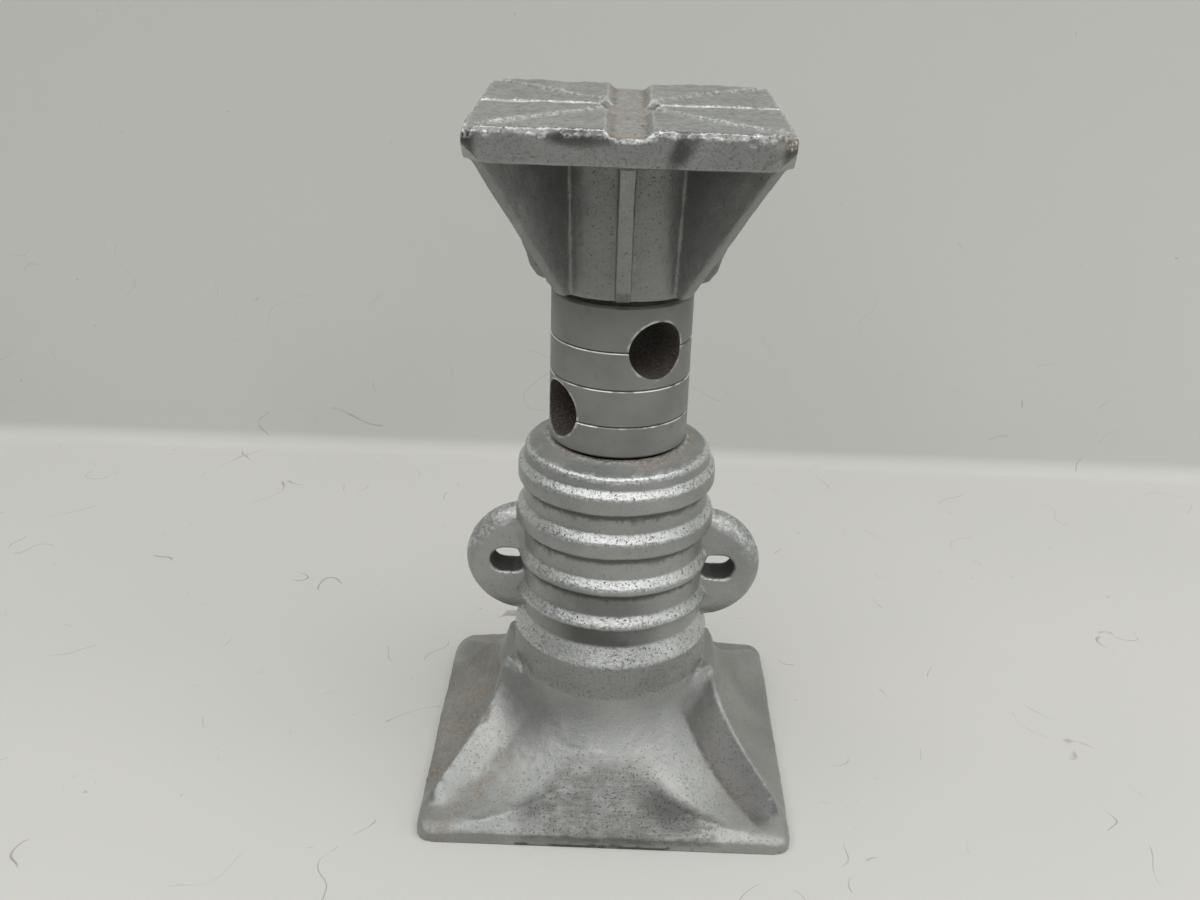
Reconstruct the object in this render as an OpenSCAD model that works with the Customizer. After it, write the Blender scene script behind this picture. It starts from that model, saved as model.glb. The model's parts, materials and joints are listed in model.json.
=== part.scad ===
// Cast screw jack: a flared foot casting with an internal thread, a screw turned by a
// bar through its boss, and a square swivel head. Millimetres, +Z up, screw axis on Z,
// origin at the middle of the foot's underside. Shown wound fully down.

/* [Foot] */
// Side of the square foot
foot_side = 138; // [132:1:150]
// Height of the upright rim around the foot
foot_rim_h = 4.4; // [3:0.2:6]
// Height of the rim along the back, where it is thinner
foot_back_h = 2.4; // [1.6:0.2:6]
// Radius of the foot's corners
foot_corner_r = 6; // [5:0.5:8]
// Height at which the leaning faces at the front and back run out into the bell
face_top_z = 24; // [22:0.5:25]
// Wall of the casting where it is hollow
wall = 8; // [6:0.5:10]
// Radius across the bottom of the bell's flare
flare_r = 97; // [95:1:99]
// Height of the bell's skin at the corners
flare_low_z = 6; // [5:0.5:8]
// Height at which the bell runs into the neck
flare_top_z = 52; // [50:0.5:53]

/* [Corner ridges] */
// Height of a ridge's flat ledge beside the neck
ledge_z = 45; // [43:0.5:47]
// Height of the crest where its nose begins
nose_z = 13; // [11:0.5:15]
// Width of the crest
crest_w = 2.4; // [1.6:0.2:4]
// Depth of the hollow down a ridge's two sides
side_hollow = 0.8; // [0:0.2:1.6]

/* [Neck and rings] */
// Radius of the plain band above the bell
band_r = 37.7; // [37.4:0.1:39]
// Radius of the raised rings
ring_r = 37; // [36:0.5:38]
// Radius of the neck between the rings
neck_r = 34.4; // [33.5:0.1:35]
// Radius of the collar at the top
collar_r = 34.6; // [34:0.1:35]
// Height of the body's top face at its outer edge
body_top_z = 133.3; // [132:0.1:135]

/* [Ears] */
// Radius of an ear's round outline
ear_r = 22.5; // [21:0.5:24]
// Thickness of an ear
ear_t = 14; // [12:0.5:16]
// Distance of an ear's centre from the screw axis
ear_x = 34.3; // [33:0.1:36]
// Height of an ear's centre
ear_z = 83.5; // [80:0.5:87]
// Radius of the round ends of the eye
eye_end_r = 5; // [4.5:0.1:5.5]
// Length of the eye
eye_len = 14; // [12:0.5:15]

/* [Screw] */
// Radius of the boss that takes the bar
boss_r = 25.5; // [25:0.1:25.8]
// Height of the underside of the boss when wound down
boss_z = 137; // [136.8:0.1:138]
// Height of the shoulder that carries the head
shoulder_z = 193.2; // [192.6:0.1:193.6]
// Radius of the two crossed bar holes
bar_hole_r = 10.4; // [9:0.1:10.5]
// Height of the upper bar hole
bar_hole_hi_z = 176.8; // [176:0.2:178]
// Height of the lower bar hole
bar_hole_lo_z = 150.8; // [150:0.1:153]
// Turn of the upper bar hole about the screw axis
bar_hole_turn = 30.4; // [0:0.2:90]
// Outside radius of the thread
thread_r = 22; // [21.5:0.1:22]
// Depth of the thread
thread_depth = 4.2; // [3.8:0.1:4.4]
// Rise of the thread in one turn
pitch = 8; // [7:0.5:8]
// Length of the internal thread in the body
nut_len = 45; // [40:1:48]
// Radius of the spigot inside the head
spigot_r = 15.94; // [15.9:0.01:15.97]

/* [Head] */
// Side of the square top plate
plate_side = 103; // [98:0.5:106]
// Thickness of the top plate at its edge
plate_t = 11.4; // [10:0.2:13]
// Height of the top of the head
top_z = 256.5; // [255:0.5:258]
// Height of the bottom edge of the head's skirt
skirt_z = 195.6; // [195:0.1:196]
// Radius of the skirt at its bottom edge
skirt_r = 27.7; // [27.5:0.1:28.5]
// Radius of the head's barrel under the plate
barrel_r = 30; // [29:0.5:32]
// Thickness of the ribs under the plate
rib_t = 5; // [4:0.5:6]
// Width of the two wide channels across the top
channel_w = 15; // [12:0.5:16]
// Depth of the wide channels
channel_d = 2.4; // [2:0.2:3.4]
// Width of the narrow grooves across the top
groove_w = 5.5; // [3:0.5:6]

/* [Hidden] */
$fn = 96;
eps = 0.01;
arc_steps = 30;                       // straight pieces in a quarter of the flare

half = foot_side / 2;
flare_a = flare_r - 37;               // the flare is a quarter ellipse: its radial half axis
flare_b = flare_top_z - flare_low_z;  // and its upright half axis

// In plan a ridge's crest is a straight line. It passes ledge_at where the ledge ends and
// runs out to the corner of the foot.
ledge_at = [40.5, 15.5];
ridge_tip = [half - 3, half - 13];
ridge_len = norm(ridge_tip - ledge_at);
ridge_dir = (ridge_tip - ledge_at) / ridge_len;
ridge_across = [-ridge_dir[1], ridge_dir[0]];
nose_len = 7;                         // the crest turns down over this length
nose_at = ridge_len - nose_len;
ledge_len = 12;                       // from the ledge's end back into the neck

bore_r = 26;                          // clear bore below the internal thread
nut_top_z = 131.5;
nut_z = nut_top_z + 1.5 - nut_len;
run = 0.3;                            // running clearance of the thread
core_r = thread_r - thread_depth;
thread_steps = 24;                    // sides in one turn of the thread
nut_thread_z = nut_z + 3;             // lowest turn of the internal thread
screw_thread_z = nut_thread_z - 8.5 * pitch;  // half a turn out of step, so that they mesh
relief_z = 129;                       // plain turned length from here up to the boss

screw_end_z = 15;
stop_t = 4;
stop_r = 24;
bolt_r = 5;
bolt_head_af = 17;                    // across the flats
bolt_head_h = 6.4;

washer_gap = 0.1;
washer_t = skirt_z - shoulder_z - 2 * washer_gap;
socket_r = 16;
socket_z = 233;
spigot_top_z = 231.5;
groove_z = 214;                       // middle of the spigot's groove and of the set screw
groove_floor_r = 13.5;
setscrew_r = 4;
setscrew_turn = 67.5;

plate_z = top_z - plate_t;
plate_half = plate_side / 2;
rib_low_r = 30.6;                     // reach of a corner rib at the skirt
rib_rise = 0.729;                     // and how much further it reaches for each mm up

// ---- plain shapes -------------------------------------------------------------------

module rounded_square(side, r) {
    inner = side / 2 - r;
    square([side, 2 * inner], center = true);
    square([2 * inner, side], center = true);
    for (x = [-inner, inner], y = [-inner, inner]) translate([x, y]) circle(r, $fn = 48);
}

module along_x(length) { rotate([90, 0, 90]) linear_extrude(length, center = true) children(); }
module along_y(length) { rotate([90, 0, 0]) linear_extrude(length, center = true) children(); }
module on_corners() { for (flip = [[0, 0], [1, 0], [0, 1], [1, 1]])
    mirror([flip[0], 0, 0]) mirror([0, flip[1], 0]) children(); }

// One ridge of thread, as a band with a trapezium section swept up a helix. It fades out
// over a third of a turn at each end.
module thread_ridge(root_r, crest_r, root_w, crest_w, z0, z1) {
    steps = floor((z1 - z0) / pitch * thread_steps);
    fade = thread_steps / 3;
    function height(k) = min(1, (k + 0.5) / fade, (steps - k + 0.5) / fade);
    function section(k) = [[root_r, -root_w / 2], [root_r + (crest_r - root_r) * height(k), -crest_w / 2],
                           [root_r + (crest_r - root_r) * height(k), crest_w / 2], [root_r, root_w / 2]];
    function place(p, k) = [p[0] * cos(360 * k / thread_steps), p[0] * sin(360 * k / thread_steps),
                            z0 + p[1] + pitch * k / thread_steps];
    points = [for (k = [0:steps]) for (p = section(k)) place(p, k)];
    sides = [for (k = [0:steps - 1]) for (i = [0:3]) let (j = (i + 1) % 4, a = 4 * k, b = 4 * (k + 1))
             each [[a + i, b + i, a + j], [a + j, b + i, b + j]]];
    ends = [[0, 1, 2], [0, 2, 3], [4 * steps + 2, 4 * steps + 1, 4 * steps], [4 * steps + 3, 4 * steps + 2, 4 * steps]];
    flipped = crest_r < root_r;
    polyhedron(points, [for (f = concat(sides, ends)) flipped ? f : [f[2], f[1], f[0]]]);
}

// ---- body casting -------------------------------------------------------------------

// Point on the flare, set in from the outside by the given thickness
function flare(turn, inset) = [flare_r - (flare_a + inset) * cos(turn), flare_top_z - (flare_b + inset) * sin(turn)];

module bell_profile() {
    polygon(concat([[0, 0], [flare_r, 0]],
                   [for (k = [arc_steps:-1:0]) flare(90 * k / arc_steps, 0)],
                   [[0, flare_top_z]]));
}

// The upright rim and the leaning face above it, across one pair of sides of the foot
module leaning_outline(inset, left_low, right_low) {
    w = half - inset;
    in = face_top_z - foot_rim_h;
    polygon([[-w, -1], [w, -1], [w, right_low], [w - in, face_top_z - inset / 3], [w - in, 80],
             [-w + in, 80], [-w + in, face_top_z - inset / 3], [-w, left_low]]);
}

module leaning_faces(inset, back_low) {
    low = foot_rim_h - inset / 3;
    intersection() {
        along_x(2 * foot_side) leaning_outline(inset, low, back_low);
        along_y(2 * foot_side) leaning_outline(inset, low, low);
    }
}

// The foot in plan. Its back corners are rounder than its front ones.
module foot_plan() {
    hull() for (c = [[-1, -1, foot_corner_r], [1, -1, foot_corner_r], [1, 1, 9], [-1, 1, 13]])
        translate([c[0] * (half - c[2]), c[1] * (half - c[2])]) circle(c[2], $fn = 48);
}

// The left and right sides of the foot are lower than its bell, from one ridge to the other
module side_panels() {
    for (side = [0, 1]) mirror([side, 0, 0]) intersection() {
        along_y(2 * foot_side) polygon(concat([[80, 80], [33, 80], [33, 43]],
            [for (x = [38:1.5:71]) [x, side_z(x)]], [[80, 3]]));
        linear_extrude(90) polygon([[33, -1], [43, -13.9], [68.5, -54.4], [80, -62], [80, 62], [68.5, 54.4], [43, 13.9],
                                    [33, 1]]);
    }
}

module foot_outside() {
    difference() {
        intersection() {
            rotate_extrude() bell_profile();
            leaning_faces(0, foot_back_h);
            linear_extrude(90) foot_plan();
        }
        side_panels();
    }
}

// Height of the bell's skin at radius r, and of a ridge's crest at s from the ledge's end
function bell_z(r) = r < 37 ? flare_top_z : flare_top_z - flare_b * sqrt(1 - pow((flare_r - r) / flare_a, 2));
function crest_z(s) = s < 0 ? ledge_z
    : s < nose_at ? ledge_z - (ledge_z - nose_z) * sqrt(s / nose_at)
    : 3 + (nose_z - 3) * sqrt(max(0, 1 - pow((s - nose_at) / nose_len, 2)));

// One cross section of a ridge. Its front side falls gently to the bell on the diagonal,
// and its outer side falls steeply to the lower side panel.
function on_bell(r, turn) = [r * cos(turn), r * sin(turn), min(ledge_z, bell_z(r)) - 0.15];
function front_foot(s) = on_bell(35.5 + 1.025 * s, 45);
function side_z(x) = 52 - 48.5 * sqrt(1 - pow((82 - x) / 46, 2));
function side_foot(s) = let (c = ledge_at + s * ridge_dir,
                             p = c - min(9.2 - 0.07 * s, (half - 0.6 - c[0]) / ridge_dir[1]) * ridge_across)
    [p[0], p[1], side_z(p[0]) - 0.15];
function crest_point(s, side) = let (p = ledge_at + s * ridge_dir + side * ridge_across) [p[0], p[1], crest_z(s)];
function beyond(a, b) = a + (a - b) * 0.3 - [0, 0, 0.5];
function between(a, b) = (a + b) / 2 - [0, 0, side_hollow * min(1, norm(a - b) / 12)];
function on_floor(p) = [p[0], p[1], 1];
function ridge_section(s) = let (front = front_foot(s), side = side_foot(s), c1 = crest_point(s, crest_w / 2),
                                 c2 = crest_point(s, -crest_w / 2))
    [on_floor(beyond(front, c1)), beyond(front, c1), front, between(front, c1), c1,
     crest_point(s, 0) + [0, 0, 0.5], c2, between(side, c2), side - [0, 0, 1], on_floor(side)];

module ridge() {
    steps = 24;
    sections = [for (k = [0:steps]) ridge_section(-ledge_len + (ridge_len + ledge_len) * k / steps)];
    n = len(sections[0]);
    sides = [for (k = [0:steps - 1]) for (i = [0:n - 1]) let (j = (i + 1) % n, a = n * k, b = n * (k + 1))
             each [[a + i, b + i, a + j], [a + j, b + i, b + j]]];
    caps = [for (i = [1:n - 2]) each [[0, i, i + 1], [n * steps, n * steps + i + 1, n * steps + i]]];
    polyhedron([for (sec = sections) each sec], concat(sides, caps));
}

// Sawtooth rings: each has an upright face, a sloping shoulder above and a sharp underside
rings = [[72, 73.8, 77.7], [86.6, 89.5, 92.9], [101.6, 107.9, 111.4], [119.1, 125.9, 128.4]];

module neck_profile() {
    polygon(concat([[0, 30], [37, 30], [37, 44], [band_r, 44.5], [band_r, 57.3], [neck_r, 64.5]],
                   [for (r = rings) each [[neck_r, r[0]], [ring_r, r[0] + 0.5], [ring_r, r[1]],
                                          [r == rings[3] ? collar_r : neck_r, r[2]]]],
                   [[collar_r, body_top_z - 2.2], [collar_r - 0.5, body_top_z - 0.8],
                    [collar_r - 1.5, body_top_z], [boss_r + 0.6, 136], [0, 136]]));
}

module ear() {
    translate([ear_x, 0, ear_z]) rotate([90, 0, 0]) rotate_extrude() {
        square([ear_r - ear_t / 2, ear_t]);
        intersection() {
            translate([ear_r - ear_t / 2, ear_t / 2]) circle(ear_t / 2, $fn = 48);
            square([ear_r, ear_t]);
        }
    }
}

module ears() {
    for (side = [0, 1]) mirror([side, 0, 0]) translate([0, ear_t / 2, 0]) ear();
}

module eyes() {
    run_out = eye_len / 2 - eye_end_r;
    for (side = [-1, 1]) translate([side * 40, 0, ear_z + 1]) rotate([90, 0, 0]) {
        for (x = [-run_out, run_out]) translate([x, 0, 0]) cylinder(h = 3 * ear_t, r = eye_end_r, center = true, $fn = 48);
        cube([2 * run_out, 2 * eye_end_r, 3 * ear_t], center = true);
    }
}

module body_hollow() {
    intersection() {
        rotate_extrude() polygon(concat([[0, -1], [flare(90, wall)[0], -1]],
            [for (k = [arc_steps:-1:0]) flare(90 * k / arc_steps, wall)],
            [[bore_r, flare_top_z + 8], [bore_r, nut_z], [0, nut_z]]));
        union() {
            leaning_faces(wall, foot_rim_h - wall / 3);
            translate([0, 0, 14]) cylinder(h = 100, r = 44);
        }
    }
    translate([0, 0, nut_z - 4]) cylinder(h = 60, r = thread_r + run);
    translate([0, 0, nut_z - eps]) cylinder(h = 2, r1 = bore_r, r2 = thread_r + run);
    translate([0, 0, 134.5]) cylinder(h = 2, r1 = thread_r + run, r2 = thread_r + 2);
}

module body_casting() {
    color("silver") {
        difference() {
            union() {
                foot_outside();
                on_corners() ridge();
                rotate_extrude() neck_profile();
                ears();
            }
            body_hollow();
            eyes();
        }
        thread_ridge(thread_r + run + 0.4, core_r + 0.55, 3.5, 2.9, nut_thread_z, nut_top_z);
    }
}

// ---- screw --------------------------------------------------------------------------

score_z = [148.8, 162.6, 176.6];  // fine turned lines round the boss
score = 0.5;

module screw_profile() {
    polygon(concat([[0, screw_end_z], [core_r - 1.5, screw_end_z], [core_r, screw_end_z + 1.5], [core_r, relief_z],
                    [core_r - 0.6, relief_z + 1], [core_r - 0.6, boss_z], [boss_r - 0.8, boss_z], [boss_r, boss_z + 0.8]],
                   [for (z = score_z) each [[boss_r, z - score], [boss_r - score, z], [boss_r, z + score]]],
                   [[boss_r, shoulder_z - 1], [boss_r - 1, shoulder_z], [spigot_r, shoulder_z],
                    [spigot_r, groove_z - 3.5], [groove_floor_r, groove_z - 3.5],
                    [groove_floor_r, groove_z + 3.5], [spigot_r, groove_z + 3.5],
                    [spigot_r, spigot_top_z - 1.5], [spigot_r - 1.5, spigot_top_z], [0, spigot_top_z]]));
}

module bar_hole(z, turn) {
    translate([0, 0, z]) rotate(turn) rotate([90, 0, 0])
        cylinder(h = 4 * boss_r, r = bar_hole_r, center = true);
}

module screw() {
    color("gainsboro") {
        difference() {
            rotate_extrude() screw_profile();
            bar_hole(bar_hole_hi_z, bar_hole_turn);
            bar_hole(bar_hole_lo_z, bar_hole_turn - 90);
            translate([0, 0, screw_end_z - 1]) cylinder(h = 26, r = bolt_r + 0.02);
        }
        thread_ridge(core_r - 0.4, thread_r, 4.2, 3.5, screw_thread_z, relief_z - 2);
    }
}

module stop_washer() {
    color("dimgray") translate([0, 0, screw_end_z - stop_t]) difference() {
        cylinder(h = stop_t, r = stop_r);
        translate([0, 0, -1]) cylinder(h = stop_t + 2, r = bolt_r + 0.3);
    }
}

module stop_bolt() {
    color("dimgray") translate([0, 0, screw_end_z - stop_t]) {
        translate([0, 0, -bolt_head_h]) cylinder(h = bolt_head_h, r = bolt_head_af / sqrt(3), $fn = 6);
        translate([0, 0, -1]) cylinder(h = stop_t + 21, r = bolt_r);
    }
}

// ---- head ---------------------------------------------------------------------------

// Reach of a corner rib's straight outer edge at height z
function corner_reach(z) = rib_low_r + rib_rise * (z - skirt_z);

module rib(turn, outline, thickness) {
    rotate(turn) along_y(thickness) polygon(concat([[0, plate_z + 1], [0, skirt_z]], outline));
}

module corner_ribs() {
    outline = [[rib_low_r, skirt_z], [corner_reach(plate_z + 1), plate_z + 1]];
    for (turn = [45:90:315]) rib(turn, outline, rib_t);
}

// The ribs in the middle of each side drop steeply and are blunt at the bottom
module middle_ribs() {
    low = skirt_r + 0.6;
    outline = [[low, skirt_z], [low + 2.2, skirt_z + 0.9], [low + 5, skirt_z + 4.6], [low + 6.2, skirt_z + 9],
               [plate_half - 0.6, plate_z + 1]];
    for (turn = [0:90:270]) rib(turn, outline, rib_t);
}

// The top plate, with its edges broken. Its lower corners are cut off in line with the ribs.
module plate() {
    edge = 1.2;
    flat_r = corner_reach(plate_z);
    intersection() {
        union() {
            translate([0, 0, plate_z]) linear_extrude(plate_t - edge) rounded_square(plate_side, 4);
            translate([0, 0, top_z - edge - eps]) linear_extrude(edge + eps) rounded_square(plate_side - 1.6, 4);
        }
        corner_wedge(45, flat_r);
        corner_wedge(135, flat_r);
    }
}

module corner_wedge(turn, flat_r) {
    up = 10;
    rotate(turn) along_y(2 * plate_side)
        polygon([[-flat_r, plate_z - eps], [flat_r, plate_z - eps], [flat_r + up * rib_rise, plate_z + up],
                 [flat_r + up * rib_rise, top_z + 1], [-flat_r - up * rib_rise, top_z + 1],
                 [-flat_r - up * rib_rise, plate_z + up]]);
}

// Channels and grooves that ray out from the middle of the plate
module top_grooves() {
    floor_z = top_z - channel_d;
    rotate(90) ray(channel_w, channel_w - 4, channel_d);
    translate([0, 0, floor_z]) cylinder(h = 20, r = 11, $fn = 8);
    for (turn = [0, 45, 135]) rotate(turn) ray(groove_w, groove_w / 3, 2);
}

module ray(top_w, floor_w, depth) {
    along_x(2 * plate_side)
        polygon([[-top_w / 2, top_z + 1], [-top_w / 2, top_z], [-floor_w / 2, top_z - depth],
                 [floor_w / 2, top_z - depth], [top_w / 2, top_z], [top_w / 2, top_z + 1]]);
}

module head() {
    color("silver") difference() {
        union() {
            plate();
            translate([0, 0, skirt_z]) cylinder(h = plate_z - skirt_z + 1, r1 = skirt_r, r2 = barrel_r);
            corner_ribs();
            middle_ribs();
        }
        top_grooves();
        translate([0, 0, skirt_z - 1]) cylinder(h = socket_z - skirt_z + 1, r = socket_r);
        setscrew_hole();
    }
}

module setscrew_hole() {
    translate([0, 0, groove_z]) rotate(setscrew_turn) rotate([0, 90, 0]) cylinder(h = 60, r = setscrew_r + 0.02);
}

module thrust_washer() {
    color("dimgray") translate([0, 0, shoulder_z + washer_gap]) difference() {
        cylinder(h = washer_t, r = boss_r - 1);
        translate([0, 0, -1]) cylinder(h = washer_t + 2, r = spigot_r + 0.5);
    }
}

module head_setscrew() {
    color("dimgray") translate([0, 0, groove_z]) rotate(setscrew_turn) rotate([0, 90, 0]) difference() {
        union() {
            translate([0, 0, socket_r + 0.5]) cylinder(h = 11, r = setscrew_r);
            translate([0, 0, groove_floor_r + 0.4]) cylinder(h = 4, r = setscrew_r - 1);
        }
        translate([0, 0, socket_r + 7.5]) cylinder(h = 10, r = 2.3, $fn = 6);
    }
}

body_casting();
screw();
head();
thrust_washer();
head_setscrew();
stop_washer();
stop_bolt();
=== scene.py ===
"""A short cast screw jack, finished as it is used: aluminium paint over sand-cast iron,
a turned steel screw, and rust where water and grit collect."""
import json
import math

import bpy
import numpy as np
from mathutils import Matrix, Vector, noise


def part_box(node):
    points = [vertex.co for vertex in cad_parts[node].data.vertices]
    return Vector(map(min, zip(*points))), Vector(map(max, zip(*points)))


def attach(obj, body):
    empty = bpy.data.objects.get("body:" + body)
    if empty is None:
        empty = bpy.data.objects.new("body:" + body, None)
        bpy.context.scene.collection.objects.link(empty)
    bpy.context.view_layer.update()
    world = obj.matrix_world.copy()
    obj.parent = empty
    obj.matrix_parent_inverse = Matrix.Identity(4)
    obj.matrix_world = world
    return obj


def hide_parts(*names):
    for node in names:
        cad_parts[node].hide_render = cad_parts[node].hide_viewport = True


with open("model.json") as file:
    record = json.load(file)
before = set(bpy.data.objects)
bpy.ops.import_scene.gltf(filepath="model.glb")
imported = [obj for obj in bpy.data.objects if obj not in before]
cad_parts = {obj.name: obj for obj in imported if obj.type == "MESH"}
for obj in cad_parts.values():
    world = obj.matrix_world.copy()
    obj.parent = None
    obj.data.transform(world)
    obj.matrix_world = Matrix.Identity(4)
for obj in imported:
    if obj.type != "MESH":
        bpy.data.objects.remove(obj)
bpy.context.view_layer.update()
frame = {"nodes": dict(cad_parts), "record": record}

MM = 0.001


# ---- helpers ------------------------------------------------------------------------

def linear(hex_colour):
    """An sRGB hex colour as the linear RGBA that shaders take."""
    parts = [int(hex_colour[i:i + 2], 16) / 255 for i in (1, 3, 5)]
    return [c / 12.92 if c <= 0.04045 else ((c + 0.055) / 1.055) ** 2.4 for c in parts] + [1.0]


def add(tree, kind, settings=None, **inputs):
    """Adds a shader node. settings are its properties. inputs, by socket name or as i0, i1...
    for nodes that repeat a name, are values, sockets to link, or nodes, of which the first
    output in use is linked."""
    node = tree.nodes.new("ShaderNode" + kind)
    for name, value in (settings or {}).items():
        setattr(node, name, value)
    for name, value in inputs.items():
        numbered = name[0] == "i" and name[1:].isdigit()
        socket = node.inputs[int(name[1:])] if numbered else node.inputs[name.replace("_", " ")]
        if isinstance(value, bpy.types.Node):
            value = next(output for output in value.outputs if output.enabled)
        if isinstance(value, bpy.types.NodeSocket):
            tree.links.new(value, socket)
        else:
            socket.default_value = value
    return node


# Settings that many nodes share
SMOOTH = {"interpolation_type": "SMOOTHSTEP"}  # of MapRange: 0 at From Min, 1 at From Max
COLOURS = {"data_type": "RGBA"}  # of Mix: i7 laid over i6, by i0
TIMES = {"operation": "MULTIPLY", "use_clamp": True}
LARGER = {"operation": "MAXIMUM"}


def per_metre(size_mm):
    """A pattern's scale, from how large its grain really is."""
    return 1 / (size_mm * MM)


def start_material(name):
    """A new material, its node tree and shader, and places on the object in metres."""
    material = bpy.data.materials.new(name)
    material.use_nodes = True
    tree = material.node_tree
    where = add(tree, "TexCoord").outputs["Object"]
    return material, tree, tree.nodes["Principled BSDF"], where


def link_into_scene(name, mesh):
    piece = bpy.data.objects.new(name, mesh)
    bpy.context.scene.collection.objects.link(piece)
    return piece


# ---- the studio ---------------------------------------------------------------------

def set_camera():
    """Stands above and in front of the jack, looking down at it by about 24 degrees."""
    down, turn, lean = 0.4121, 0.0096, 0.0321
    level_right = Vector((math.cos(turn), math.sin(turn), 0))
    level_ahead = Vector((-math.sin(turn), math.cos(turn), 0))
    ahead = level_ahead * math.cos(down) - Vector((0, 0, math.sin(down)))
    above = level_ahead * math.sin(down) + Vector((0, 0, math.cos(down)))
    right = level_right * math.cos(lean) + above * math.sin(lean)
    above = above * math.cos(lean) - level_right * math.sin(lean)
    data = bpy.data.cameras.new("camera")
    data.lens, data.sensor_width = 39.05, 36
    data.clip_start, data.clip_end = 0.01, 10
    camera = bpy.data.objects.new("camera", data)
    camera.matrix_world = Matrix.Translation((-0.0020, -0.4480, 0.3250)) @ Matrix(
        (right, above, -ahead)).transposed().to_4x4()
    bpy.context.scene.collection.objects.link(camera)
    bpy.context.scene.camera = camera


def lay_backdrop():
    """Pale laminate bench that turns up into a wall behind the jack. The wall is opaque, so
    it hides the jack from behind."""
    wall_y, bend, width, steps = 0.285, 0.010, 1.6, 8
    front_y, wall_top = -1.2, 1.4
    profile = [(front_y, 0.0)]
    for step in range(steps + 1):
        angle = math.radians(step * 90 / steps)
        profile.append((wall_y - bend + bend * math.sin(angle), bend - bend * math.cos(angle)))
    profile.append((wall_y, wall_top))
    verts = [(x, y, z) for y, z in profile for x in (-width, width)]
    faces = [(2 * i, 2 * i + 1, 2 * i + 3, 2 * i + 2) for i in range(len(profile) - 1)]
    mesh = bpy.data.meshes.new("backdrop")
    mesh.from_pydata(verts, [], faces)
    mesh.polygons.foreach_set("use_smooth", [True] * len(faces))
    backdrop = link_into_scene("backdrop", mesh)
    mesh.materials.append(pale_laminate())


def pale_laminate():
    """Matt pale laminate, wiped unevenly, with hair-fine scratches and a few brown specks.
    The scratches are the level lines of a soft noise."""
    material = bpy.data.materials.new("pale_laminate")
    material.use_nodes = True
    tree = material.node_tree
    surface = tree.nodes["Principled BSDF"]
    surface.inputs["Roughness"].default_value = 0.75
    surface.inputs["Specular IOR Level"].default_value = 0.2
    where = add(tree, "NewGeometry").outputs["Position"]
    height = add(tree, "SeparateXYZ", Vector=where).outputs["Z"]
    # Noise by the size of its lumps in mm, and how much finer noise it holds
    wide, winding, patchy, fine = (
        add(tree, "TexNoise", Vector=where, Scale=per_metre(size), Detail=detail)
        for size, detail in ((260, 2.0), (48, 1.0), (35, 3.0), (5, 3.0)))

    on_wall = add(tree, "MapRange", SMOOTH, Value=height, From_Min=0.0, From_Max=0.012)
    # Painted shade: the wall is drawn darker higher up, where less light reaches it.
    wall_falloff_shade = add(tree, "MapRange", SMOOTH, Value=height, From_Min=0.08, From_Max=0.40)
    wiped = add(tree, "MapRange", SMOOTH, Value=wide, From_Min=0.3, From_Max=0.7)
    wiped = add(tree, "Math", {"operation": "MULTIPLY"}, i0=wiped, i1=0.5)
    line = add(tree, "Math", {"operation": "SUBTRACT"}, i0=winding, i1=0.5)
    line = add(tree, "Math", {"operation": "ABSOLUTE"}, i0=line, i1=0.0)
    line = add(tree, "MapRange", SMOOTH, Value=line, From_Min=0.0022, From_Max=0.0006)
    scratched = add(tree, "MapRange", SMOOTH, Value=patchy, From_Min=0.56, From_Max=0.62)
    low_down = add(tree, "MapRange", SMOOTH, Value=height, From_Min=0.2, From_Max=-0.1)
    scratched = add(tree, "Math", {"operation": "MULTIPLY"}, i0=scratched, i1=low_down)
    scratch = add(tree, "Math", {"operation": "MULTIPLY"}, i0=line, i1=scratched)
    specks = add(tree, "MapRange", SMOOTH, Value=fine, From_Min=0.73, From_Max=0.78)
    specks = add(tree, "Math", {"operation": "MULTIPLY"}, i0=specks, i1=0.5)

    colour = add(tree, "Mix", COLOURS, i0=on_wall, i6=linear("#CFCEC9"), i7=linear("#CFCFCB"))
    for amount, over in ((wall_falloff_shade, "#BFC0BB"), (wiped, "#C9C9C4"), (scratch, "#8F8D86"), (specks, "#8D8A80")):
        colour = add(tree, "Mix", COLOURS, i0=amount, i6=colour, i7=linear(over))
    tree.links.new(colour.outputs[2], surface.inputs["Base Color"])
    return material


def hang_lights():
    """A very large soft lamp overhead, a weaker one in front, a window on the right and a
    dim room."""
    def softbox(name, place, aim, width, height, watts):
        data = bpy.data.lights.new(name, "AREA")
        data.shape, data.size, data.size_y, data.energy = "RECTANGLE", width, height, watts
        lamp = bpy.data.objects.new(name, data)
        lamp.location = place
        if aim:
            lamp.rotation_mode = "QUATERNION"
            lamp.rotation_quaternion = (Vector(aim) - Vector(place)).to_track_quat("-Z", "Y")
        bpy.context.scene.collection.objects.link(lamp)

    softbox("overhead", (0.0, -0.60, 1.35), None, 2.6, 1.8, 27)
    softbox("front", (0.1, -1.70, 1.00), (0, 0, 0.1), 2.2, 1.0, 5)
    softbox("window", (1.30, -0.50, 0.60), (0, 0, 0.1), 0.9, 0.9, 3)
    world = bpy.data.worlds.new("room")
    world.use_nodes = True
    world.node_tree.nodes["Background"].inputs["Color"].default_value = linear("#E4E6E6")
    world.node_tree.nodes["Background"].inputs["Strength"].default_value = 0.14
    bpy.context.scene.world = world


# ---- cast and worn skins ------------------------------------------------------------

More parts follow.
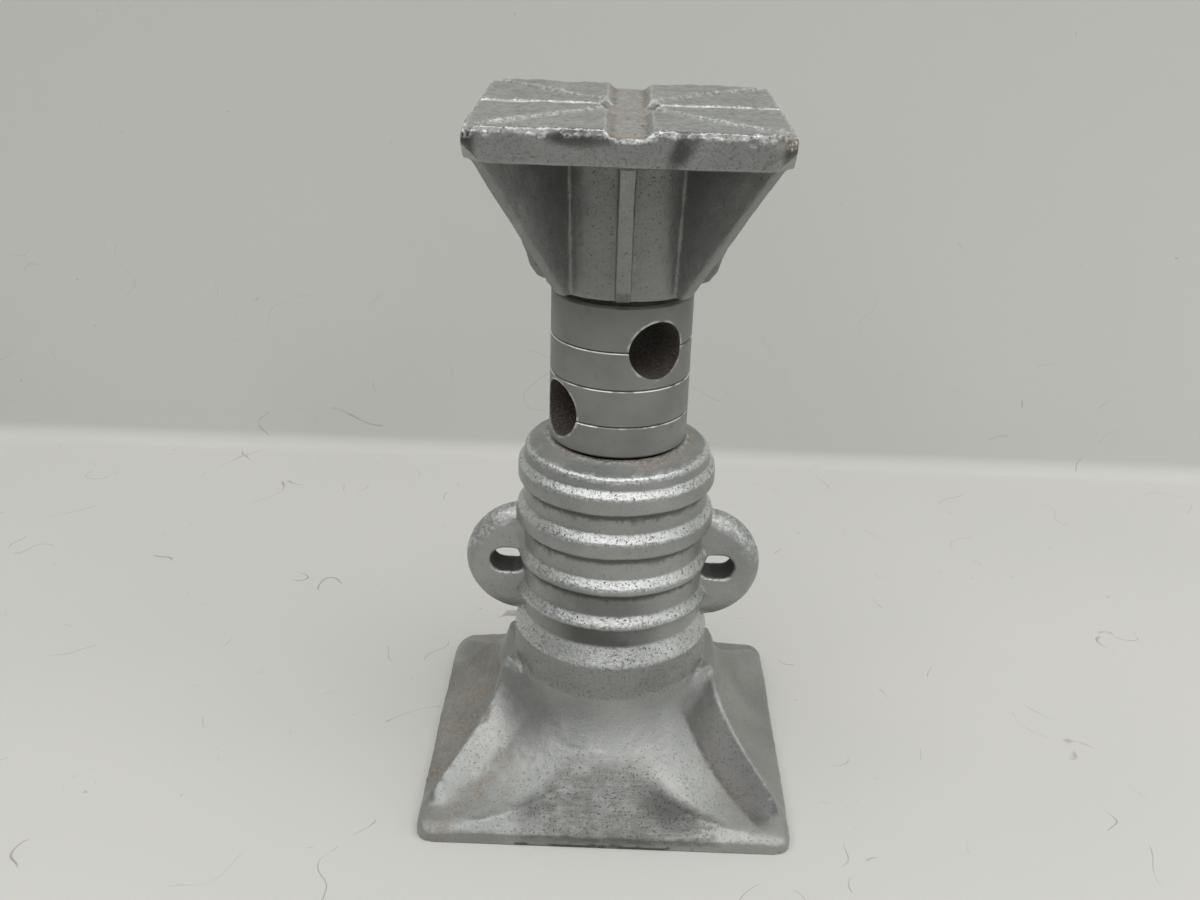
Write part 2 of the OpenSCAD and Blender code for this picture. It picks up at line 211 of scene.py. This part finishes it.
class Skin:
    """A dense copy of a CAD node's mesh, whose points can be moved, in millimetres."""

    def __init__(self, node, voxel):
        source = link_into_scene("copy_of_" + node, frame["nodes"][node].data.copy())
        even = source.modifiers.new("even", "REMESH")
        even.mode, even.voxel_size, even.adaptivity = "VOXEL", voxel * MM, 0
        self.take(source)

    def take(self, source):
        """Reads the points of source as its modifiers leave them, and drops source."""
        graph = bpy.context.evaluated_depsgraph_get()
        mesh = bpy.data.meshes.new_from_object(source.evaluated_get(graph))
        bpy.data.objects.remove(source)
        self.mesh = mesh
        count = len(mesh.vertices)
        self.points = np.empty(count * 3)
        mesh.vertices.foreach_get("co", self.points)
        self.points = self.points.reshape(-1, 3) / MM
        self.edges = np.empty(len(mesh.edges) * 2, dtype=np.int64)
        mesh.edges.foreach_get("vertices", self.edges)
        self.edges = self.edges.reshape(-1, 2)
        self.meets = np.bincount(self.edges.ravel(), minlength=count)

    def around(self, values):
        """The mean of each point's neighbours."""
        a, b = self.edges[:, 0], self.edges[:, 1]
        total = [np.bincount(a, values[b, i], len(values)) + np.bincount(b, values[a, i], len(values))
                 for i in range(values.shape[1])]
        return np.stack(total, 1) / self.meets[:, None]

    def normals(self):
        self.mesh.vertices.foreach_set("co", (self.points * MM).ravel())
        self.mesh.update()
        out = np.empty(len(self.points) * 3)
        self.mesh.vertex_normals.foreach_get("vector", out)
        return out.reshape(-1, 3)

    def soften(self, times, share):
        """Rounds edges over; share is how much, from 0 to 0.7, at each point."""
        for _ in range(times):
            self.points += (self.around(self.points) - self.points) * share[:, None]

    def rumple(self, height, size, seed, share=1.0):
        """Moves the skin in and out by up to about height, in lumps about size across."""
        offset = np.array([seed * 17.3, seed * 5.1, seed * 9.7])
        lumps = np.array([noise.noise(p) for p in ((self.points + offset) / size).tolist()])
        self.points += self.normals() * (lumps * height * share)[:, None]

    def patches(self, size, seed):
        """Smooth noise from about -1 to 1 at each point, for masks."""
        offset = np.array([seed * 11.9, seed * 7.7, seed * 3.3])
        return np.array([noise.noise(p) for p in ((self.points + offset) / size).tolist()])

    def thin(self, faces):
        """Fewer triangles, kept where the shape needs them."""
        self.normals()
        source = link_into_scene("dense", self.mesh)
        three = source.modifiers.new("three", "TRIANGULATE")
        three.keep_custom_normals = False
        fewer = source.modifiers.new("fewer", "DECIMATE")
        fewer.ratio = min(1.0, faces / sum(len(f.vertices) - 2 for f in self.mesh.polygons))
        self.take(source)

    def bends(self, reach):
        """(crease, edge): how hollow and how sharp the skin is at each point, from 0 to 1."""
        near = self.points.copy()
        for _ in range(reach):
            near = self.around(near)
        rise = ((near - self.points) * self.normals()).sum(1)
        most = 0.22
        return np.clip(rise / most, 0, 1), np.clip(-rise / most, 0, 1)

    def finish(self, name, node, material, **marks):
        """Makes the piece that stands for the node, with the marks that its material reads."""
        self.normals()
        for mark, values in marks.items():
            layer = self.mesh.attributes.new(mark, "FLOAT", "POINT")
            layer.data.foreach_set("value", np.asarray(values, dtype=np.float32))
        self.mesh.polygons.foreach_set("use_smooth", [True] * len(self.mesh.polygons))
        self.mesh.materials.clear()
        self.mesh.materials.append(material)
        piece = link_into_scene(name, self.mesh)
        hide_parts(node)
        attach(piece, node_body[node])
        return piece


def band(values, low, high, soft):
    """1 where values lie between low and high, fading to 0 over soft outside them."""
    return np.clip((values - low) / soft + 1, 0, 1) * np.clip((high - values) / soft + 1, 0, 1)


def crest_line(x):
    """In plan, how far a ridge's crest lies from the middle plane."""
    return 1.49 * np.abs(x) - 41.9


def root_line(x):
    """The same for the line where a ridge's wall meets the bell."""
    return 1.17 * np.abs(x) - 5


def cast_body():
    """The body as it left the sand mould and years of use: an uneven skin with softened
    edges, grainy shoulders on its rings, rough side faces and ledges, and a nibbled rim.
    The thread inside is left as it was cut. The marks that its paint reads hold dust, rust
    and wear, and also painted highlight and painted shade."""
    skin = Skin("body_casting", voxel=0.6)
    x, y, z = skin.points.T
    radius = np.hypot(x, y)
    thread_radius, thread_foot, sole = 27, 84, 0.35
    moves = np.where(((radius < thread_radius) & (z > thread_foot)) | (z < sole), 0.0, 1.0)
    skin.soften(2, 0.36 * moves)
    up = skin.normals()[:, 2]
    faces = band(np.maximum(np.abs(x), np.abs(y)) + z, 71.5, 90, 1.5) * (z < 27) * (z > 3)
    ledge = band(z, 43, 47, 1.5) * (radius > 37.5) * (np.abs(x) > 30)
    rings = band(z, 60, 133, 2) * (radius > 33)
    shoulders = rings * np.clip(up * 4 - 1.4, 0, 1)
    ridges = band(np.abs(y), crest_line(x) - 3, root_line(x) + 2, 2) * (radius > 44) * band(z, 4.8, 42, 1)
    ridge_ends = band(np.minimum(np.abs(x), np.abs(y)), 50, 66.5, 3) * band(z, 4.8, 15, 1)
    skin.soften(8, 0.55 * ridges * moves)
    skin.soften(45, 0.65 * ridge_ends * moves)
    skin.rumple(height=0.30, size=21, seed=1, share=moves)
    skin.rumple(height=0.10, size=6, seed=2, share=moves)
    skin.rumple(height=0.07, size=2.4, seed=3, share=moves * (1 + 0.8 * faces + 2 * ledge))
    skin.rumple(height=0.10, size=1.5, seed=7, share=moves * shoulders)
    skin.rumple(height=0.42, size=4.5, seed=4, share=(faces * 0.25 + 0.6 * ledge) * moves)
    worn = np.clip(skin.patches(5, 5) * 2.0 - 0.2, 0, 1) * rings * 0.6
    worn = worn + np.clip(skin.patches(4, 6) * 2.5, 0, 1) * (z < 6)
    skin.soften(4, np.clip(worn, 0, 0.6) * moves)
    skin.thin(faces=190000)

    x, y, z = skin.points.T
    radius = np.hypot(x, y)
    up = skin.normals()[:, 2]
    crease, edge = skin.bends(reach=5)
    # Edges that face up get more of the paint's light edges, partly a painted highlight; edges low down get
    # less.
    edge *= (0.3 + 0.7 * np.clip(up * 3, 0, 1)) * np.where(z < 50, 0.45, 1)
    rings = band(z, 58, 133.5, 1) * (radius > 33) * (radius < 38.5)
    neck_band = band(z, 44, 57, 1) * band(radius, 36.5, 39, 0.5)
    # Grit on the ring shoulders that face up, the neck band and the wide shoulder below the rings. The paint
    # draws it as lighter grains: sand grain, and a painted highlight.
    gritty = rings * np.clip((up - 0.38) * 6, 0, 1) + 0.45 * neck_band
    gritty = np.maximum(gritty, 0.9 * band(z, 58, 64, 1) * (radius > 34.3) * (radius < 38.2))
    front_face = band(np.abs(y) + z, 72.4, 90, 2.2) * (np.abs(y) > np.abs(x) * 0.98) * band(z, 0, 20, 6)
    front_middle = front_face * band(x + 6 * skin.patches(12, 8), -22, 36, 9)
    side_panel = (np.abs(x) > 45) * (np.abs(y) < np.abs(x) * 0.62) * (z < 30) * (up > 0.05)
    # Painted shade: the front right ridge's wall is drawn darker than the left one, as it faces away from the
    # light.
    wall_right = (band(-y, crest_line(x), root_line(x), 1.6) * (x > 25)
                  * band(radius, 43, 84, 4) * band(z, 7.5, 40, 2))
    ridge_foot = (band(np.abs(y) - root_line(x), -3, 5, 5) * (radius > 54) * (z < 20)
                  * np.where(x < 0, 1, 0.45))
    # The leaning front face is darkened at its middle and both ends: partly darker paint, partly painted
    # shade.
    ends = np.maximum(np.clip(1.5 - np.hypot((x + 24) / 10, (y + 60) / 7), 0, 1),
                      1.3 * np.clip(1.5 - np.hypot((x - 25) / 13, (y + 59) / 8), 0, 1))
    lean_dark = front_face * np.maximum(0.55 * band(x, -24, 32, 8), ends)
    top = band(z, 133.6, 140, 0.4) * band(radius, 20, 26.4 + 2.4 * (x > 8) + skin.patches(7, 9), 1.5)
    ledge_top = band(z, 43.5, 47, 1) * (radius > 38) * (np.abs(x) > 30)
    # Painted shade: the lower grooves at the front are darkened, under the rings above them.
    low_grooves = (radius < 35.4) * np.clip(1.6 - np.abs(x + 4) / 15, 0, 1) * (y < 0) * (
        band(z, 65, 72, 1) + 0.6 * band(z, 78, 86, 1))
    in_eye = band(np.abs(np.abs(x) - 40), 0, 7.2, 0.6) * band(z, 79, 89.9, 0.5) * (np.abs(y) < 6.2)
    # Painted shadow: a dark strip on the neck just under each ring's lower edge, at the front.
    ring_undersides = (86.6, 101.6, 119.1)
    shadow_under_rings = 0.8 * (radius < 35.6) * (y < 0) * sum(
        band(z, low - 2.1, low + 0.3, 0.5) for low in ring_undersides)
    grime = np.maximum.reduce([np.where(x < 0, 0.7, 0.15) * side_panel, 0.6 * ridge_foot, top,
                               0.4 * ledge_top])
    scoured = np.clip(front_middle + np.where(x < 0, 0.5, 0.2) * side_panel, 0, 1)
    inside = (up < -0.05) * (z < 43) * (radius < 76) + (radius < 27.5) * (z < 134) + in_eye
    # Smudges: grime and thin paint, and painted shade on the right ridge's wall, the lower grooves, the
    # leaning front face and the neck band.
    smudge = np.maximum.reduce([0.85 * wall_right, 0.9 * low_grooves, 0.75 * lean_dark,
                                0.45 * neck_band])
    # The bare mark holds the dark iron inside and, on the body, the painted shadow under the rings.
    return skin.finish("cast_body", "body_casting", aluminium_painted_iron("body"),
                       crease=crease, edge=edge, grime=grime, scoured=scoured,
                       gritty=np.clip(gritty, 0, 1), bare=np.clip(np.maximum(inside, shadow_under_rings), 0, 1),
                       smudge=smudge)


def cast_head():
    """The head: a cast skin like the body's, and a top that loads have battered and scored."""
    skin = Skin("head", voxel=0.55)
    x, y, z = skin.points.T
    top_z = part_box("head")[1][2] / MM
    socket_radius, socket_top = 17, 236
    moves = np.where((np.hypot(x, y) < socket_radius) & (z < socket_top), 0.0, 1.0)
    skin.soften(2, 0.36 * moves)
    skin.rumple(height=0.26, size=15, seed=11, share=moves)
    skin.rumple(height=0.10, size=5, seed=12, share=moves)
    skin.rumple(height=0.07, size=2.2, seed=13, share=moves)
    x, y, z = skin.points.T
    crown = band(z, top_z - 2.6, top_z + 2, 1.2)
    rim = crown * band(np.maximum(np.abs(x), np.abs(y)), 48.5, 60, 1.5)
    corner = np.clip(1.3 - np.hypot(x - 49, y + 49) / 11, 0, 1)
    nibbled = rim * np.clip(skin.patches(6, 14) * 2.6 + 0.1, 0, 1) * 0.6
    skin.soften(10, np.clip(nibbled + corner * crown, 0, 0.62))
    skin.rumple(height=0.42, size=13, seed=15, share=crown)
    skin.rumple(height=0.24, size=2.6, seed=16, share=crown)
    skin.rumple(height=0.5, size=3.5, seed=17, share=crown * corner + 0.4 * rim)
    skin.thin(faces=186000)

    x, y, z = skin.points.T
    up = skin.normals()[:, 2]
    crease, edge = skin.bends(reach=5)
    edge *= np.where(z > top_z - 4, 1, 0.12)
    crown = band(z, top_z - 4, top_z + 2, 1)
    chipped = np.clip(1.3 - np.hypot(x - 49, y + 49) / 9, 0, 1)
    top = crown * np.clip(up * 1.5 - 0.2, 0, 1)
    channel = band(np.abs(x), 0, 5.5, 1.5) * top
    hollow = band(np.hypot(x, y), 0, 9, 3) * top
    grime = np.maximum.reduce([0.75 * channel, 0.75 * hollow, 0.12 * top, 0.9 * chipped * crown])
    # Painted shade: the plate's front, which faces forward, is darkened, with a few grime smudges on it.
    plate_front = (y < -49) * band(z, top_z - 11.5, top_z, 1)
    smudge = plate_front * np.maximum.reduce([
        np.clip(1.5 - np.hypot((x - 17 - (z - top_z + 5) * 0.5) / 3.4, (z - top_z + 4) / 6), 0, 1),
        np.clip(1.5 - np.hypot((x + 15) / 9, (z - top_z + 2.5) / 2.4), 0, 1),
        np.clip((np.abs(x) - 46) / 3, 0, 1)])
    inside = (np.hypot(x, y) < 16.6) & (z < 234.5)
    # Painted shade: the head below the plate is darkened.
    under = band(z, 190, top_z - 11.6, 0.5) * (np.hypot(x, y) > 25)
    # Grit on the top, the plate's front and below it, which the paint draws as lighter grains: sand grain,
    # and a painted highlight.
    gritty = np.maximum.reduce([0.5 * top, 0.4 * plate_front, 0.18 * under])
    # Smudges on the head: grime, and painted shade on the plate's front, below the plate and in the creases
    # of its top.
    smudge = np.clip(0.8 * smudge + 0.45 * plate_front + 0.5 * under + 0.7 * crease * top, 0, 1)
    return skin.finish("cast_head", "head", aluminium_painted_iron("head"), crease=crease, edge=edge,
                       grime=grime, scoured=0.5 * top, gritty=gritty, bare=inside, smudge=smudge)


# ---- materials ----------------------------------------------------------------------

def aluminium_painted_iron(name):
    """Grey cast iron from a sand mould under brushed aluminium paint. The leafing flakes
    lie flat and shine like dull metal, the sand leaves fine pits, and dirt and rust sit in
    the creases and on rough faces. Smudged faces are darker, partly under grime and thin
    paint and partly as painted shade. Lighter grains and edges are partly painted highlight,
    and a dark strip under the rings is a painted shadow."""
    material, tree, surface, where = start_material("aluminium_painted_iron_" + name)
    marks = ("crease", "edge", "grime", "scoured", "gritty", "bare", "smudge")
    crease, edge, grime, scoured, gritty, bare, smudge = (
        add(tree, "Attribute", {"attribute_name": mark}).outputs["Fac"] for mark in marks)
    # Grain by its size in mm, how much finer grain it holds, and how rough that is
    broad, blotch, sand, speck, dust, coarse_sand = (
        add(tree, "TexNoise", Vector=where, Scale=per_metre(size), Detail=detail, Roughness=roughness)
        for size, detail, roughness in (
            (28, 4, 0.5), (7, 5, 0.6), (1.1, 4, 0.65), (0.8, 1, 0.5), (0.45, 1, 0.5), (1.3, 4, 0.7)))
    along = add(tree, "Mapping", {"vector_type": "POINT"}, Vector=where, Scale=(0.12, 1.0, 1.0))
    brushing = add(tree, "TexNoise", Vector=along, Scale=per_metre(0.9), Detail=3, Roughness=0.6)

    # Uneven coats of the same silver, thinner and darker in patches, and dusty
    uneven = add(tree, "MapRange", SMOOTH, Value=broad, From_Min=0.36, From_Max=0.66)
    thin = add(tree, "MapRange", SMOOTH, Value=blotch, From_Min=0.55, From_Max=0.72)
    thin = add(tree, "Math", TIMES, i0=thin, i1=0.3)
    dusty = add(tree, "MapRange", SMOOTH, Value=dust, From_Min=0.62, From_Max=0.72)
    dusty = add(tree, "Math", TIMES, i0=dusty, i1=0.3)
    # Lighter grains under the grit mark: sand grain, and a painted highlight on ring shoulders and the head's
    # top where they face up; and sand pits where the brush missed
    grains_and_painted_glint = add(tree, "MapRange", SMOOTH, Value=sand, From_Min=0.36, From_Max=0.5)
    grains_and_painted_glint = add(tree, "Math", TIMES, i0=gritty, i1=grains_and_painted_glint)
    in_scours = add(tree, "Math", TIMES, i0=scoured, i1=0.3)
    in_grit = add(tree, "Math", TIMES, i0=gritty, i1=0.65)
    pitted = add(tree, "Math", LARGER, i0=in_scours, i1=in_grit)
    pitted = add(tree, "Math", {"operation": "ADD", "use_clamp": True}, i0=0.22, i1=pitted)
    pits = add(tree, "MapRange", SMOOTH, Value=speck, From_Min=0.64, From_Max=0.72)
    pits = add(tree, "Math", TIMES, i0=pits, i1=pitted)
    # Scoured faces: dark iron through the paint, in short level strokes
    stroke = add(tree, "Math", {"operation": "ADD"}, i0=add(tree, "Math", TIMES, i0=blotch, i1=0.6),
                 i1=add(tree, "Math", TIMES, i0=brushing, i1=0.4))
    scuffed = add(tree, "MapRange", SMOOTH, Value=stroke, From_Min=0.36, From_Max=0.6)
    scuffed = add(tree, "Math", TIMES, i0=scoured, i1=scuffed)
    scuffed = add(tree, "Math", TIMES, i0=scuffed, i1=0.8)
    # Smudged faces are darker: grime and thin paint, and painted shade where the faces lie in shadow.
    smudged = add(tree, "MapRange", SMOOTH, Value=broad, From_Min=0.2, From_Max=0.5)
    smudged = add(tree, "Math", TIMES, i0=smudge, i1=smudged)
    # Bright high spots: flakes polished by rubbing, and a painted highlight along sharp edges, most on those
    # that face up
    sharp = add(tree, "MapRange", SMOOTH, Value=edge, From_Min=0.3, From_Max=0.9)
    polished = add(tree, "MapRange", SMOOTH, Value=sand, From_Min=0.4, From_Max=0.58)
    worn_and_highlit = add(tree, "Math", TIMES, i0=sharp, i1=polished)
    worn_and_highlit = add(tree, "Math", TIMES, i0=worn_and_highlit, i1=0.8)

    coat = add(tree, "Mix", COLOURS, i0=uneven, i6=linear("#939592"), i7=linear("#A7A8A5"))
    for amount, over in ((thin, "#7E7F7C"), (dusty, "#C9CBC9"), (grains_and_painted_glint, "#CFD1CF"), (pits, "#343331"),
                         (scuffed, "#72716C"), (smudged, "#545452"), (worn_and_highlit, "#DADCDB")):
        coat = add(tree, "Mix", COLOURS, i0=amount, i6=coat, i7=linear(over))

    # Dust and rust, dark iron inside, and the painted shadow under the rings
    settled = add(tree, "Math", {"operation": "MULTIPLY"}, i0=crease, i1=0.3)
    settled = add(tree, "Math", {"operation": "ADD", "use_clamp": True}, i0=settled, i1=grime)
    settled = add(tree, "Math", TIMES, i0=settled, i1=add(
        tree, "MapRange", SMOOTH, Value=blotch, From_Min=0.34, From_Max=0.6))
    rusting = add(tree, "MapRange", SMOOTH, Value=sand, From_Min=0.4, From_Max=0.62)
    rust = add(tree, "Mix", COLOURS, i0=rusting, i6=linear("#75695A"), i7=linear("#A2978A"))
    rusted = add(tree, "Math", TIMES, i0=settled, i1=0.72)
    colour = add(tree, "Mix", COLOURS, i0=rusted, i6=coat, i7=rust)
    dark_iron_and_shadow = add(tree, "Math", TIMES, i0=bare, i1=0.85)
    colour = add(tree, "Mix", COLOURS, i0=dark_iron_and_shadow, i6=colour, i7=linear("#36322E"))
    tree.links.new(colour.outputs[2], surface.inputs["Base Color"])

    # Paint shines like dull metal, and dirt, rust, dark iron, the painted shadow and pits don't
    dull = add(tree, "Math", LARGER, i0=settled, i1=dark_iron_and_shadow)
    dull = add(tree, "Math", {"operation": "MAXIMUM", "use_clamp": True}, i0=dull, i1=pits)
    metal = add(tree, "MapRange", Value=dull, To_Min=0.75, To_Max=0.1)
    rough = add(tree, "MapRange", Value=dull, To_Min=0.44, To_Max=0.8)
    uneven_shine = add(tree, "Math", {"operation": "SUBTRACT"}, i0=sand, i1=0.5)
    uneven_shine = add(tree, "Math", {"operation": "MULTIPLY"}, i0=uneven_shine, i1=0.3)
    rough = add(tree, "Math", {"operation": "ADD"}, i0=rough, i1=uneven_shine)
    glint = add(tree, "Math", {"operation": "MULTIPLY"}, i0=gritty, i1=0.1)
    rough = add(tree, "Math", {"operation": "SUBTRACT"}, i0=rough, i1=glint)
    tree.links.new(metal.outputs[0], surface.inputs["Metallic"])
    tree.links.new(rough.outputs[0], surface.inputs["Roughness"])

    # Sand grain, coarser on the scoured and gritty surfaces, with open pits
    fine = add(tree, "Bump", Height=sand, Strength=0.35, Distance=0.3 * MM)
    deep = add(tree, "Bump", {"invert": True}, Height=pits, Strength=0.8, Distance=0.4 * MM, Normal=fine)
    rough_parts = add(tree, "Math", LARGER, i0=add(tree, "Math", TIMES, i0=scoured, i1=0.5),
                      i1=add(tree, "Math", TIMES, i0=gritty, i1=0.7))
    lumps = add(tree, "Math", TIMES, i0=coarse_sand, i1=rough_parts)
    coarse = add(tree, "Bump", Height=lumps, Strength=0.6, Distance=0.5 * MM, Normal=deep)
    tree.links.new(coarse.outputs["Normal"], surface.inputs["Normal"])
    return material


def turned_steel():
    """Steel turned on a lathe and brushed over once with aluminium paint. Tool marks run
    round it, unpainted metal shows round the bar holes, and the holes are brown and dark
    inside. The scored lines are drawn as dark lines of painted shade, each with a light line
    below: metal worn through, and painted highlight. The thread below is unpainted and oily."""
    material, tree, surface, where = start_material("turned_steel")
    # In mm, at rest: the thread's top, the boss from just inside its faces, and the lines
    # scored round it, each a groove. The lathe's feed is drawn coarse enough to show
    thread_top, inner_foot, inner_top, inner_radius = 137.4, 138, 191.5, 25.45
    score_heights, feed = (148.8, 162.6, 176.6), 0.6
    place = add(tree, "SeparateXYZ", Vector=where)
    height = add(tree, "Math", {"operation": "DIVIDE"}, i0=place.outputs["Z"], i1=MM)
    level = add(tree, "CombineXYZ", X=place.outputs["X"], Y=place.outputs["Y"])
    radius = add(tree, "VectorMath", {"operation": "LENGTH"}, Vector=level).outputs["Value"]
    radius = add(tree, "Math", {"operation": "DIVIDE"}, i0=radius, i1=MM)
    # Grain by its size in mm, how much finer grain it holds, and how rough that is
    broad, patchy, blotch, sand = (
        add(tree, "TexNoise", Vector=where, Scale=per_metre(size), Detail=detail, Roughness=roughness)
        for size, detail, roughness in ((24, 4, 0.5), (9, 3, 0.5), (5, 5, 0.6), (0.7, 3, 0.6)))
    turns = add(tree, "Math", {"operation": "DIVIDE"}, i0=height, i1=feed)
    tool_marks = add(tree, "TexNoise", {"noise_dimensions": "1D"}, W=turns, Scale=1.0, Detail=2.0)

    # How near each point is to a bar hole's wall: 1 at the wall and its lip
    lip = 0.0
    for hole in (m for m in frame["record"]["mounts"] if m["kind"] == "bore"):
        off = add(tree, "VectorMath", {"operation": "SUBTRACT"}, i0=where, i1=hole["pos_m"])
        across = add(tree, "VectorMath", {"operation": "CROSS_PRODUCT"}, i0=off, i1=hole["axis"])
        away = add(tree, "VectorMath", {"operation": "LENGTH"}, Vector=across).outputs["Value"]
        near = add(tree, "MapRange", SMOOTH, Value=away, From_Min=(hole["dims"]["r_mm"] + 1.1) * MM,
                   From_Max=(hole["dims"]["r_mm"] + 0.35) * MM)
        lip = add(tree, "Math", LARGER, i0=lip, i1=near)
    below_skin = add(tree, "MapRange", SMOOTH, Value=radius, From_Min=inner_radius, From_Max=24.8)
    above_foot = add(tree, "MapRange", SMOOTH, Value=height, From_Min=inner_foot, From_Max=139)
    under_top = add(tree, "MapRange", SMOOTH, Value=height, From_Min=inner_top, From_Max=190.5)
    in_boss = add(tree, "Math", TIMES, i0=above_foot, i1=under_top)
    inside = add(tree, "Math", TIMES, i0=below_skin, i1=in_boss)
    below = add(tree, "MapRange", SMOOTH, Value=height, From_Min=thread_top, From_Max=136.8)

    uneven = add(tree, "MapRange", SMOOTH, Value=broad, From_Min=0.35, From_Max=0.65)
    stained = add(tree, "MapRange", SMOOTH, Value=blotch, From_Min=0.6, From_Max=0.75)
    stained = add(tree, "Math", TIMES, i0=stained, i1=0.3)
    darker = add(tree, "MapRange", SMOOTH, Value=height, From_Min=176, From_Max=193)
    darker = add(tree, "Math", TIMES, i0=darker, i1=0.4)
    layers = [(stained, "#666866"), (darker, "#555653")]
    for score_z in score_heights:
        # Painted shade: a dark line for the groove's upper wall, which faces down. On the edge below it, in
        # places, a light line: metal worn through the paint, and a painted highlight where that wall faces up
        edge_low = add(tree, "MapRange", SMOOTH, Value=height, From_Min=score_z - 0.6,
                       From_Max=score_z - 0.45)
        edge_high = add(tree, "MapRange", SMOOTH, Value=height, From_Min=score_z - 0.1,
                        From_Max=score_z - 0.25)
        worn_through_and_highlit = add(tree, "Math", TIMES, i0=edge_low, i1=edge_high)
        worn_through_and_highlit = add(tree, "Math", TIMES, i0=worn_through_and_highlit, i1=add(
            tree, "MapRange", SMOOTH, Value=patchy, From_Min=0.4, From_Max=0.52))
        low = add(tree, "MapRange", SMOOTH, Value=height, From_Min=score_z - 0.2, From_Max=score_z - 0.05)
        high = add(tree, "MapRange", SMOOTH, Value=height, From_Min=score_z + 0.3, From_Max=score_z + 0.2)
        groove = add(tree, "Math", TIMES, i0=low, i1=high)
        layers += [(worn_through_and_highlit, "#E6E8E6"), (groove, "#2C2B29")]
    bare_lip = add(tree, "MapRange", SMOOTH, Value=blotch, From_Min=0.42, From_Max=0.62)
    bare_lip = add(tree, "Math", TIMES, i0=lip, i1=bare_lip)
    layers.append((bare_lip, "#C6C7C4"))
    coat = add(tree, "Mix", COLOURS, i0=uneven, i6=linear("#80817E"), i7=linear("#8D8E8B"))
    for amount, over in layers:
        coat = add(tree, "Mix", COLOURS, i0=amount, i6=coat, i7=linear(over))

    rusting = add(tree, "MapRange", SMOOTH, Value=sand, From_Min=0.4, From_Max=0.62)
    brown = add(tree, "Mix", COLOURS, i0=rusting, i6=linear("#45403B"), i7=linear("#6B625A"))
    colour = add(tree, "Mix", COLOURS, i0=inside, i6=coat, i7=brown)
    colour = add(tree, "Mix", COLOURS, i0=below, i6=colour, i7=linear("#3B3936"))
    tree.links.new(colour.outputs[2], surface.inputs["Base Color"])
    metal = add(tree, "MapRange", Value=inside, To_Min=0.75, To_Max=0.3)
    tree.links.new(metal.outputs[0], surface.inputs["Metallic"])
    rough = add(tree, "MapRange", Value=inside, To_Min=0.38, To_Max=0.7)
    uneven_shine = add(tree, "Math", {"operation": "SUBTRACT"}, i0=blotch, i1=0.5)
    uneven_shine = add(tree, "Math", {"operation": "MULTIPLY"}, i0=uneven_shine, i1=0.2)
    rough = add(tree, "Math", {"operation": "ADD"}, i0=rough, i1=uneven_shine)
    tree.links.new(rough.outputs[0], surface.inputs["Roughness"])
    fine = add(tree, "Bump", Height=sand, Strength=0.25, Distance=0.1 * MM)
    lines = add(tree, "Bump", Height=tool_marks, Strength=0.3, Distance=0.1 * MM, Normal=fine)
    tree.links.new(lines.outputs["Normal"], surface.inputs["Normal"])
    return material


def plain_dark_steel():
    """Hot-rolled or blackened steel of washers and screws: a dull grey-brown oxide, browner in
    patches, that shines a little where it is flat."""
    material, tree, surface, where = start_material("dark_steel")
    patch = add(tree, "TexNoise", Vector=where, Scale=per_metre(4), Detail=5, Roughness=0.5)
    scale = add(tree, "TexNoise", Vector=where, Scale=per_metre(0.6), Detail=3, Roughness=0.5)
    browner = add(tree, "MapRange", SMOOTH, Value=patch, From_Min=0.42, From_Max=0.62)
    colour = add(tree, "Mix", COLOURS, i0=browner, i6=linear("#242220"), i7=linear("#3A342E"))
    tree.links.new(colour.outputs[2], surface.inputs["Base Color"])
    surface.inputs["Metallic"].default_value = 0.6
    rough = add(tree, "MapRange", Value=patch, To_Min=0.4, To_Max=0.8)
    tree.links.new(rough.outputs[0], surface.inputs["Roughness"])
    bump = add(tree, "Bump", Height=scale, Strength=0.4, Distance=0.15 * MM)
    tree.links.new(bump.outputs["Normal"], surface.inputs["Normal"])
    return material


# ---- putting it together ------------------------------------------------------------

node_body = {node: body for body, nodes in frame["record"]["behaviour"]["bodies"].items() for node in nodes}

set_camera()
lay_backdrop()
hang_lights()
cast_body()
cast_head()
dark_steel = plain_dark_steel()
finishes = {"screw": turned_steel(), "thrust_washer": dark_steel, "head_setscrew": dark_steel,
            "stop_washer": dark_steel, "stop_bolt": dark_steel}
for name, material in finishes.items():
    mesh = frame["nodes"][name].data
    mesh.materials.clear()
    mesh.materials.append(material)

bpy.context.scene.view_settings.view_transform = "Standard"
